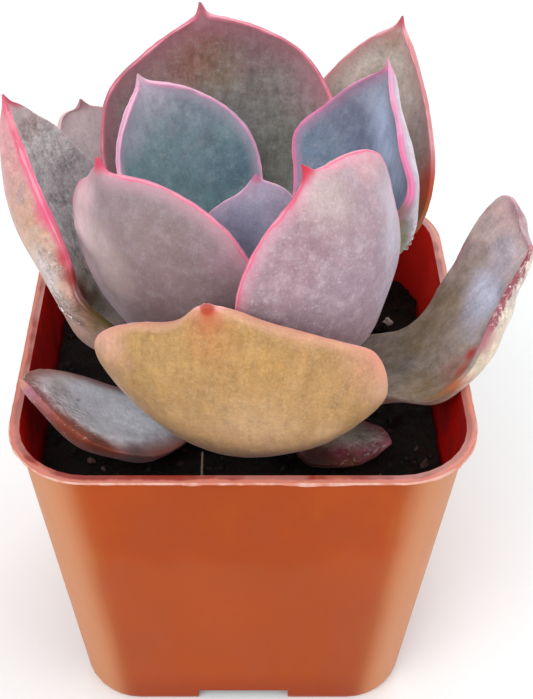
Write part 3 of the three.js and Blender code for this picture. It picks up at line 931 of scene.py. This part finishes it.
outside = Finish("terracotta_plastic")
broad = outside.noise(24, 3, 0.55)
smear = outside.noise(5, 4, 0.6, outside.stretched((1, 1, 0.35)))
grain = outside.noise(0.5, 3, 0.7)
clay = outside.mix("b44602", "a84206", outside.fade(broad, 0.38, 0.62))
clay = outside.mix(clay, "bb5818", outside.fade(smear, 0.5, 0.8, 0, 0.35))
across, deep, height = outside.from_middle()
half = outside.math("MULTIPLY_ADD", height, (WALL_HALF_RIM - WALL_HALF_FOOT) * MM / RIM_Z, WALL_HALF_FOOT * MM)
corner = outside.math("DIVIDE", outside.math("ADD", across, deep), half)
corner = outside.math("MULTIPLY_ADD", smear, 0.05, corner)
hazy = outside.math("MULTIPLY_ADD", broad, 14 * MM, height)
clay = outside.mix(clay, "ac4e1e", outside.fade(hazy, 48 * MM, 44 * MM, 0, 0.5))
clay = outside.mix(clay, "9c3a12", outside.fade(height, 9 * MM, 2 * MM, 0, 0.6))
# The rounded corners are painted lighter tan: a painted highlight where the curved plastic catches the side lights.
clay = outside.mix(clay, "bd6c30", outside.fade(corner, 1.67, 1.76, 0, 0.35))
clay = outside.mix(clay, "d08a5e", outside.fade(corner, 1.715, 1.822, 0, 0.95))
outside.set(Base_Color=clay, Roughness=outside.fade(smear, 0.3, 0.7, 0.4, 0.5), Specular_IOR_Level=0.1)
outside.set(Normal=outside.bump(grain, 0.06, 0.04, outside.bump(smear, 0.05, 0.2)))

lip = Finish("lip_plastic")
lip_mottle = lip.noise(5, 4, 0.6)
lip_blotches = lip.noise(15, 3, 0.6)
squares = [
    lip.math("POWER", lip.math("MAXIMUM", lip.math("SUBTRACT", outward, LIP_CORE), 0), 2)
    for outward in lip.from_middle()[:2]
]
ring_at = lip.sway(lip.math("SQRT", lip.math("ADD", *squares)), lip_mottle, 1.6 * MM)
# The lip is painted in paler pinkish tones than the wall: a painted reflection of the bright surroundings on its
# glossy top. It is darker red in broad patches and lighter salmon in small ones.
pale = lip.mix("ac6a62", "8c2012", lip.fade(lip_blotches, 0.46, 0.56, 0, 0.9))
pale = lip.mix(pale, "c4705e", lip.fade(lip_mottle, 0.5, 0.64, 0, 0.6))
# A lighter salmon band along the lip's outer rounded edge: a painted highlight.
pale = lip.mix(pale, "d88474", lip.fade(ring_at, 10.2 * MM, 10.7 * MM, 0, 0.85))
lip.set(Base_Color=pale, Roughness=0.3)
lip.set(Normal=lip.bump(lip_mottle, 0.12, 0.15))

inside = Finish("inner_wall_plastic")
damp = inside.noise(6, 4, 0.6)
shade_blotches = inside.noise(1.4, 4, 0.7)
# The inside is painted a deep red instead of the orange of the outside: painted reflected light from the red-orange
# walls and painted shade inside the pot.
red = inside.mix("d0120a", "a80a05", inside.fade(damp, 0.4, 0.62))
# Near-black blotches over the red: painted shade.
red = inside.mix(red, "1c0a06", inside.fade(shade_blotches, 0.62, 0.72, 0, 0.5))
# Brighter red around the back right corner: painted light, the glow of light coming through the thin wall.
lit_corner, _ = seen_on(pot, 428, 262)
red = inside.mix(red, "f8281c", inside.fade(inside.away_from(lit_corner), 22, 4))
inside.set(Base_Color=red, Roughness=inside.fade(damp, 0.4, 0.6, 0.4, 0.6))
inside.set(Normal=inside.bump(shade_blotches, 0.15, 0.15))

finish_piece(pot, outside.material, ["pot"])
pot.data.materials.append(lip.material)
pot.data.materials.append(inside.material)
for face in pot.data.polygons:
    away = Vector((face.center.x - POT_X, face.center.y - POT_Y, 0))
    looks_out = face.normal.dot(away.normalized())
    if looks_out < -0.3 and face.center.z > 2.2 * MM and away.length > 18 * MM:
        face.material_index = 2
    elif face.center.z > RIM_Z - 1.0 * MM:
        face.material_index = 1


# The thin ragged flash that the mould left under the lip


def round_square(half, corner, count):
    """Points around a level square with round corners, evenly spaced, from the middle of its right side."""
    straight = half - corner
    quarter = 2 * straight + math.pi / 2 * corner
    ring = []
    for i in range(count):
        turn, run = divmod(i * 4 * quarter / count + straight, quarter)
        if run < 2 * straight:
            x, y = half, run - straight
        else:
            angle = (run - 2 * straight) / corner
            x, y = straight + corner * math.cos(angle), straight + corner * math.sin(angle)
        cos, sin = ((1, 0), (0, 1), (-1, 0), (0, -1))[int(turn) % 4]
        ring.append((x * cos - y * sin, x * sin + y * cos))
    return np.array(ring)


FLASH_POINTS = 640
FLASH_HALF = 31.02
FLASH_CORNER = 11.02
FLASH_ROW = 0.2 * MM
bpy.ops.mesh.primitive_circle_add(vertices=FLASH_POINTS, radius=30 * MM, location=(POT_X, POT_Y, RIM_Z))
flash = bpy.context.active_object
settle(flash)
points = points_of(flash)
points[:, :2] = round_square(FLASH_HALF, FLASH_CORNER, FLASH_POINTS) * MM + (POT_X, POT_Y)
points[:, 2] = RIM_Z
set_points(flash, points)
edit(flash)
for step in range(2):
    bpy.ops.mesh.extrude_region_move(TRANSFORM_OT_translate={"value": (0, 0, -FLASH_ROW)})
done()
points = points_of(flash)
flow = points * (1, 1, 0)
torn = np.clip(wave(flow, 3.6, 1) * 1.6 + wave(flow, 12, 5) * 2.2, 0, 1) * 0.6 + wave(flow, 0.8, 8) * 0.1
row = np.round((RIM_Z - points[:, 2]) / FLASH_ROW)
away = points[:, :2] - (POT_X, POT_Y)
points[:, :2] += away / np.linalg.norm(away, axis=1)[:, None] * (row * 0.05 * MM * (1 + wave(flow, 1.4, 3)))[:, None]
points[:, 2] = RIM_Z + 0.03 * MM - row / 2 * (0.3 + 0.5 * torn) * MM
set_points(flash, points)
apply(flash, "SOLIDIFY", thickness=0.08 * MM, offset=0)
smooth(flash)
flash.name = "pot_flash"
thin = Finish("thin_flash")
flash_mottle = thin.noise(3, 4, 0.6)
# The flash is painted pale pink, far lighter than the pot: a painted highlight where its thin edge catches the
# light.
thin.set(Base_Color=thin.mix("e08a70", "eeb4a6", thin.fade(flash_mottle, 0.42, 0.6)), Roughness=0.35)
thin.set(Subsurface_Weight=0.3, Subsurface_Radius=(1.0, 0.4, 0.3), Subsurface_Scale=0.5 * MM)
finish_piece(flash, thin.material)


# The soil

SURFACE = 40 * MM
ROUGHNESS = 0.45 * MM
CRUMBS = 260
CRUMB_FIELD = 27
GRIT_FIELD = 26
PERLITE = (387, 323)

soil = copy_of_node("soil", "soil_bed")
apply(soil, "SUBSURF", levels=2, render_levels=2, subdivision_type="SIMPLE")
points = points_of(soil)
away = points - np.array((POT_X, POT_Y, 0))
top = (normals_of(soil)[:, 2] > 0.3) & (points[:, 2] > SURFACE)
lift = np.array([noise.fractal(Vector(p) / (2.4 * MM), 0.8, 2.2, 4) for p in points])
points[:, 2] += np.where(top, lift * ROUGHNESS, 0)
sides = ~top & (np.abs(normals_of(soil)[:, 2]) < 0.5) & (np.hypot(away[:, 0], away[:, 1]) > 15 * MM)
points[:, :2] += np.where(sides[:, None], normals_of(soil)[:, :2] * ROUGHNESS, 0)
set_points(soil, points)
smooth(soil)

mix = Finish("potting_mix")
crumbs = mix.noise(0.9, 6, 0.75)
earth = mix.mix("0e0806", "34241a", mix.fade(crumbs, 0.45, 0.75))
mix.set(Base_Color=earth, Roughness=mix.fade(crumbs, 0.4, 0.6, 0.55, 0.95), Specular_IOR_Level=0.3)
mix.set(Normal=mix.bump(crumbs, 1.0, 0.9))
finish_piece(soil, mix.material, ["soil"])


def lump(name, size, rough, seed, flat=0.75, detail=1):
    """A rough crumb: a ball, squashed and knocked out of round."""
    bpy.ops.mesh.primitive_ico_sphere_add(subdivisions=detail, radius=size * MM)
    piece = bpy.context.active_object
    edit(piece)
    bpy.ops.transform.resize(value=(1, 0.8, flat))
    done()
    points = points_of(piece)
    set_points(piece, points * (1 + wave(points, size * 0.8, seed) * rough)[:, None])
    piece.name = name
    return piece


def drop_onto(ground, x, y):
    hit, point, _, _ = ground.ray_cast(at(x, y, 90), -UP)
    return point if hit else None


def anywhere(half):
    return chance.uniform(-half, half), chance.uniform(-half, half)


crumb_shapes = [lump(f"crumb_{n}", 0.5, 0.9, 3.7 * n) for n in range(3)]
crumbs_placed = []
while len(crumbs_placed) < CRUMBS:
    x, y = anywhere(CRUMB_FIELD)
    point = drop_onto(soil, x, y)
    if point is None or point.z < SURFACE or math.hypot(x, y) < 7:
        continue
    turn = Euler((chance.uniform(0, 6), chance.uniform(0, 6), chance.uniform(0, 6))).to_matrix().to_4x4()
    placing = Matrix.Translation(point) @ turn @ Matrix.Scale(chance.uniform(0.5, 1.7), 4)
    crumbs_placed.append(copy_of_piece(chance.choice(crumb_shapes), "crumb", placing))
crumb_layer = joined(crumbs_placed, "soil_crumbs")
bits = Finish("crumb_earth")
kinds = bits.noise(1.6, 2, 0.5)
fleck = bits.noise(0.3, 3, 0.7)
brown = bits.mix("0b0705", "2c1c14", bits.fade(kinds, 0.5, 0.66))
bits.set(Base_Color=bits.mix(brown, "3c2e26", bits.fade(fleck, 0.6, 0.75, 0, 0.4)), Roughness=0.85)
bits.set(Normal=bits.bump(fleck, 0.6, 0.2))
smooth(crumb_layer)
finish_piece(crumb_layer, bits.material)

# Grit that shows in the photograph, with its size
GRIT = [(*PERLITE, 0.85), (425, 465, 0.8), (92, 462, 0.7), (104, 470, 0.45), (98, 446, 0.5)]
grit_shape = lump("grit_shape", 1.0, 0.9, 2.0, 0.7, 2)
grit_pieces = []
for n, (across, down, size) in enumerate(GRIT):
    point, _ = seen_on(soil, across, down)
    turn = Euler((n * 1.3, n * 2.1, n * 0.7)).to_matrix().to_4x4()
    placing = Matrix.Translation(point + Vector((0, 0, 0.3 * size * MM))) @ turn @ Matrix.Scale(size, 4)
    grit_pieces.append(copy_of_piece(grit_shape, "grit", placing))
for n in range(14):
    x, y = 0, 0
    while math.hypot(x, y) < 14:
        x, y = anywhere(GRIT_FIELD)
    point = drop_onto(soil, x, y)
    placing = Matrix.Translation(point) @ Matrix.Rotation(n, 4, "Y") @ Matrix.Scale(chance.uniform(0.4, 0.7), 4)
    grit_pieces.append(copy_of_piece(grit_shape, "grit", placing))
grit = joined(grit_pieces, "soil_grit")
apply(grit, "SUBSURF", levels=1, render_levels=1)
smooth(grit)
stone = Finish("perlite_and_grit")
which = stone.noise(9, 1, 0.4)
pores = stone.noise(0.35, 3, 0.7)
chalk = stone.mix("30241e", "6e5450", stone.fade(which, 0.42, 0.6))
perlite, _ = seen_on(soil, *PERLITE)
chalk = stone.mix(chalk, "c9c2bb", stone.fade(stone.away_from(perlite), 3, 2))
stone.set(Base_Color=stone.mix(chalk, "3a3230", stone.fade(pores, 0.55, 0.7, 0, 0.8)), Roughness=0.8)
stone.set(Normal=stone.bump(pores, 0.8, 0.2))
finish_piece(grit, stone.material)
for spare in [*crumb_shapes, grit_shape]:
    bpy.data.objects.remove(spare)


# The dry stalk: a thin straw that leans a little.

STALK = [
    (-6.0, -22.6, 40), (-5.9, -22.5, 42.5), (-5.8, -22.3, 45), (-5.7, -21.9, 47.5), (-5.6, -21.2, 50),
    (-5.5, -20.2, 52.6),
]
stalk = drawn_up("dry_stalk_straw", 10, 0.24, STALK, [0.93] * 5)
smooth(stalk)
straw = Finish("dry_straw")
fibre = straw.noise(0.5, 3, 0.6, straw.stretched((1, 1, 0.15)))
straw.set(Base_Color=straw.mix("5c4c3c", "9a8870", fibre), Roughness=0.8)
straw.set(Normal=straw.bump(fibre, 0.5, 0.1))
finish_piece(stalk, straw.material, ["dry_stalk"])


# Drops of water that lie on the leaves

bpy.ops.mesh.primitive_uv_sphere_add(segments=20, ring_count=12, radius=1 * MM)
bead = bpy.context.active_object
edit(bead)
bpy.ops.mesh.bisect(plane_co=(0, 0, -0.45 * MM), plane_no=(0, 0, 1), clear_inner=True, use_fill=True)
bpy.ops.mesh.select_all(action="SELECT")
bpy.ops.transform.resize(value=(1, 1, 0.62))
bpy.ops.transform.translate(value=(0, 0, 0.2 * MM))
done()
bead.name = "bead_shape"

water = Finish("water")
# The drops keep a pale body colour besides their clearness, so they show whitish: partly a painted glistening
# highlight.
water.set(Base_Color="f6ecec", Roughness=0.03, IOR=1.2, Transmission_Weight=0.85, Specular_IOR_Level=1.0)

# Where each drop shows in the photograph, its half length and half width, and how far it is turned on the leaf.
DROPS = {
    "leaf_left": [
        (21, 193, 1.7, 0.6, 0), (48, 266, 0.35, 0.3, 0), (55, 260, 0.3, 0.26, 0), (60, 268, 0.4, 0.34, 0),
        (63, 309, 0.9, 0.5, 60), (70, 315, 0.8, 0.5, 50), (77, 321, 0.7, 0.45, 50), (46, 240, 0.35, 0.3, 0),
        (52, 282, 0.4, 0.35, 0),
    ],
    "leaf_inner_right": [
        (411, 246, 0.5, 0.35, 0), (409, 254, 0.5, 0.4, 0), (412, 238, 0.35, 0.28, 0),
    ],
    "leaf_low_right": [(367, 455, 0.45, 0.35, 0), (376, 450, 0.9, 0.3, 80), (384, 446, 0.4, 0.25, 80)],
    "leaf_low_left": [(78, 400, 0.3, 0.25, 0), (62, 390, 0.25, 0.2, 0), (50, 402, 0.28, 0.24, 0)],
}
for node, drops in DROPS.items():
    beads = []
    for across, down, half_length, half_width, turn in drops:
        point, normal = seen_on(blades[node], across, down)
        lie = (normal or UP).to_track_quat("Z", "Y").to_matrix().to_4x4()
        size = Matrix.Diagonal((half_width, half_length, min(half_width, 0.5) * 0.8, 1))
        placing = Matrix.Translation(point) @ lie @ Matrix.Rotation(math.radians(turn), 4, "Z") @ size
        beads.append(copy_of_piece(bead, "bead", placing))
    water_drops = joined(beads, node + "_drops")
    apply(water_drops, "SUBSURF", levels=1, render_levels=1)
    smooth(water_drops)
    finish_piece(water_drops, water.material)
bpy.data.objects.remove(bead)


# The floor and the lights

bpy.ops.mesh.primitive_plane_add(size=3, location=(POT_X, POT_Y, 0))
floor = bpy.context.active_object
floor.name = "floor"
pale = Finish("pale_floor")
cloth = pale.noise(14, 2, 0.5)
pale.set(Base_Color=pale.mix("f3f7f8", "f6f9fa", cloth), Roughness=0.7, Specular_IOR_Level=0.2)
floor.data.materials.append(pale.material)


def softbox(name, place, target, width, height, watts):
    light = bpy.data.lights.new(name, "AREA")
    light.shape = "RECTANGLE"
    light.size = width
    light.size_y = height
    light.energy = watts
    stand = new_object(name, light)
    stand.location = place
    stand.rotation_euler = (target - place).to_track_quat("-Z", "Y").to_euler()


middle = at(0, 0, 60)
softbox("key", at(-260, -420, 620), middle, 0.55, 0.55, 3.0)
softbox("fill", at(520, -260, 380), middle, 0.5, 0.5, 1.0)
softbox("back", at(120, 500, 460), middle, 0.6, 0.4, 1.6)

world = bpy.data.worlds.new("studio")
bpy.context.scene.world = world
world.use_nodes = True
world.node_tree.nodes["Background"].inputs[0].default_value = (1, 1, 1, 1)
world.node_tree.nodes["Background"].inputs[1].default_value = 0.6
bpy.context.scene.view_settings.view_transform = "Standard"
